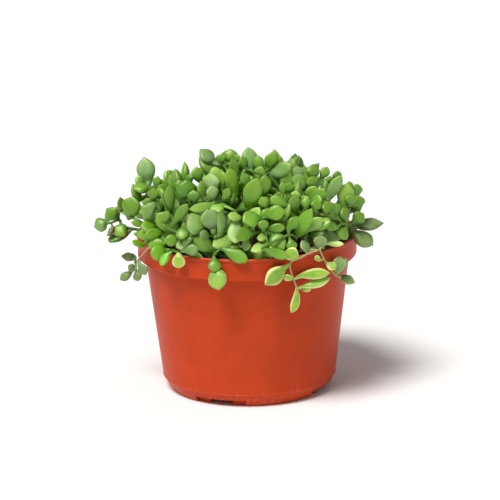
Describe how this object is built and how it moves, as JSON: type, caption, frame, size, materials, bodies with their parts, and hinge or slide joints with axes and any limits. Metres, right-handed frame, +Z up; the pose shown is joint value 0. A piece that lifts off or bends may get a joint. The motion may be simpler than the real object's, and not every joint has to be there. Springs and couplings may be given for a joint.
{
  "type": "potted cotyledon",
  "caption": "Leafy succulent in a round nursery pot: crowded stems of fleshy green leaves stand in dark soil, and pale young shoots trail over the rim.",
  "frame": {"origin": "under the middle of the whole plant's box, in the plane of the foot ring that the pot stands on; the pot's axis is 5.5 mm towards +X and 4.3 mm towards +Y from it", "axes": "+Z up, along the pot's axis; -Y towards the side seen in the picture; +X to that view's right"},
  "size_m": [0.1983, 0.1606, 0.1729],
  "materials": {
    "pot_plastic": "satin",
    "soil": "matte",
    "leaf_green": "satin",
    "young_green": "satin"
  },
  "bodies": {
    "root": {"big_round": "leaf_green", "centre_pair": "leaf_green", "centre_rosette": "leaf_green", "dome_left": "leaf_green", "front_rosette": "leaf_green", "front_trail": "young_green", "left_cup": "leaf_green", "left_edge": "leaf_green", "left_low": "leaf_green", "left_rim": "leaf_green", "left_tall": "leaf_green", "left_trail": "young_green", "long_leaf": "leaf_green", "low_left": "leaf_green", "mid_left_broad": "leaf_green", "mid_left_tall": "leaf_green", "over_rim": "leaf_green", "pale_cluster": "leaf_green", "pale_hanging": "leaf_green", "pot": "pot_plastic", "right_centre": "leaf_green", "right_edge": "leaf_green", "right_low": "leaf_green", "right_top": "leaf_green", "right_trail": "young_green", "right_upper": "leaf_green", "soil": "soil", "stem_01": "leaf_green", "stem_02": "leaf_green", "stem_03": "leaf_green", "stem_04": "leaf_green", "stem_05": "leaf_green", "stem_06": "leaf_green", "stem_07": "leaf_green", "stem_08": "leaf_green", "stem_09": "leaf_green", "stem_10": "leaf_green", "stem_11": "leaf_green", "stem_12": "leaf_green", "stem_13": "leaf_green", "stem_14": "leaf_green", "stem_15": "leaf_green", "stem_16": "leaf_green", "stem_17": "leaf_green", "stem_18": "leaf_green", "stem_19": "leaf_green", "stem_20": "leaf_green", "stem_21": "leaf_green", "stem_22": "leaf_green", "stem_23": "leaf_green", "stem_24": "leaf_green", "tall_centre": "leaf_green", "top_centre": "leaf_green", "top_left": "leaf_green", "top_right": "leaf_green", "upright_left": "leaf_green"}
  },
  "joints": []
}
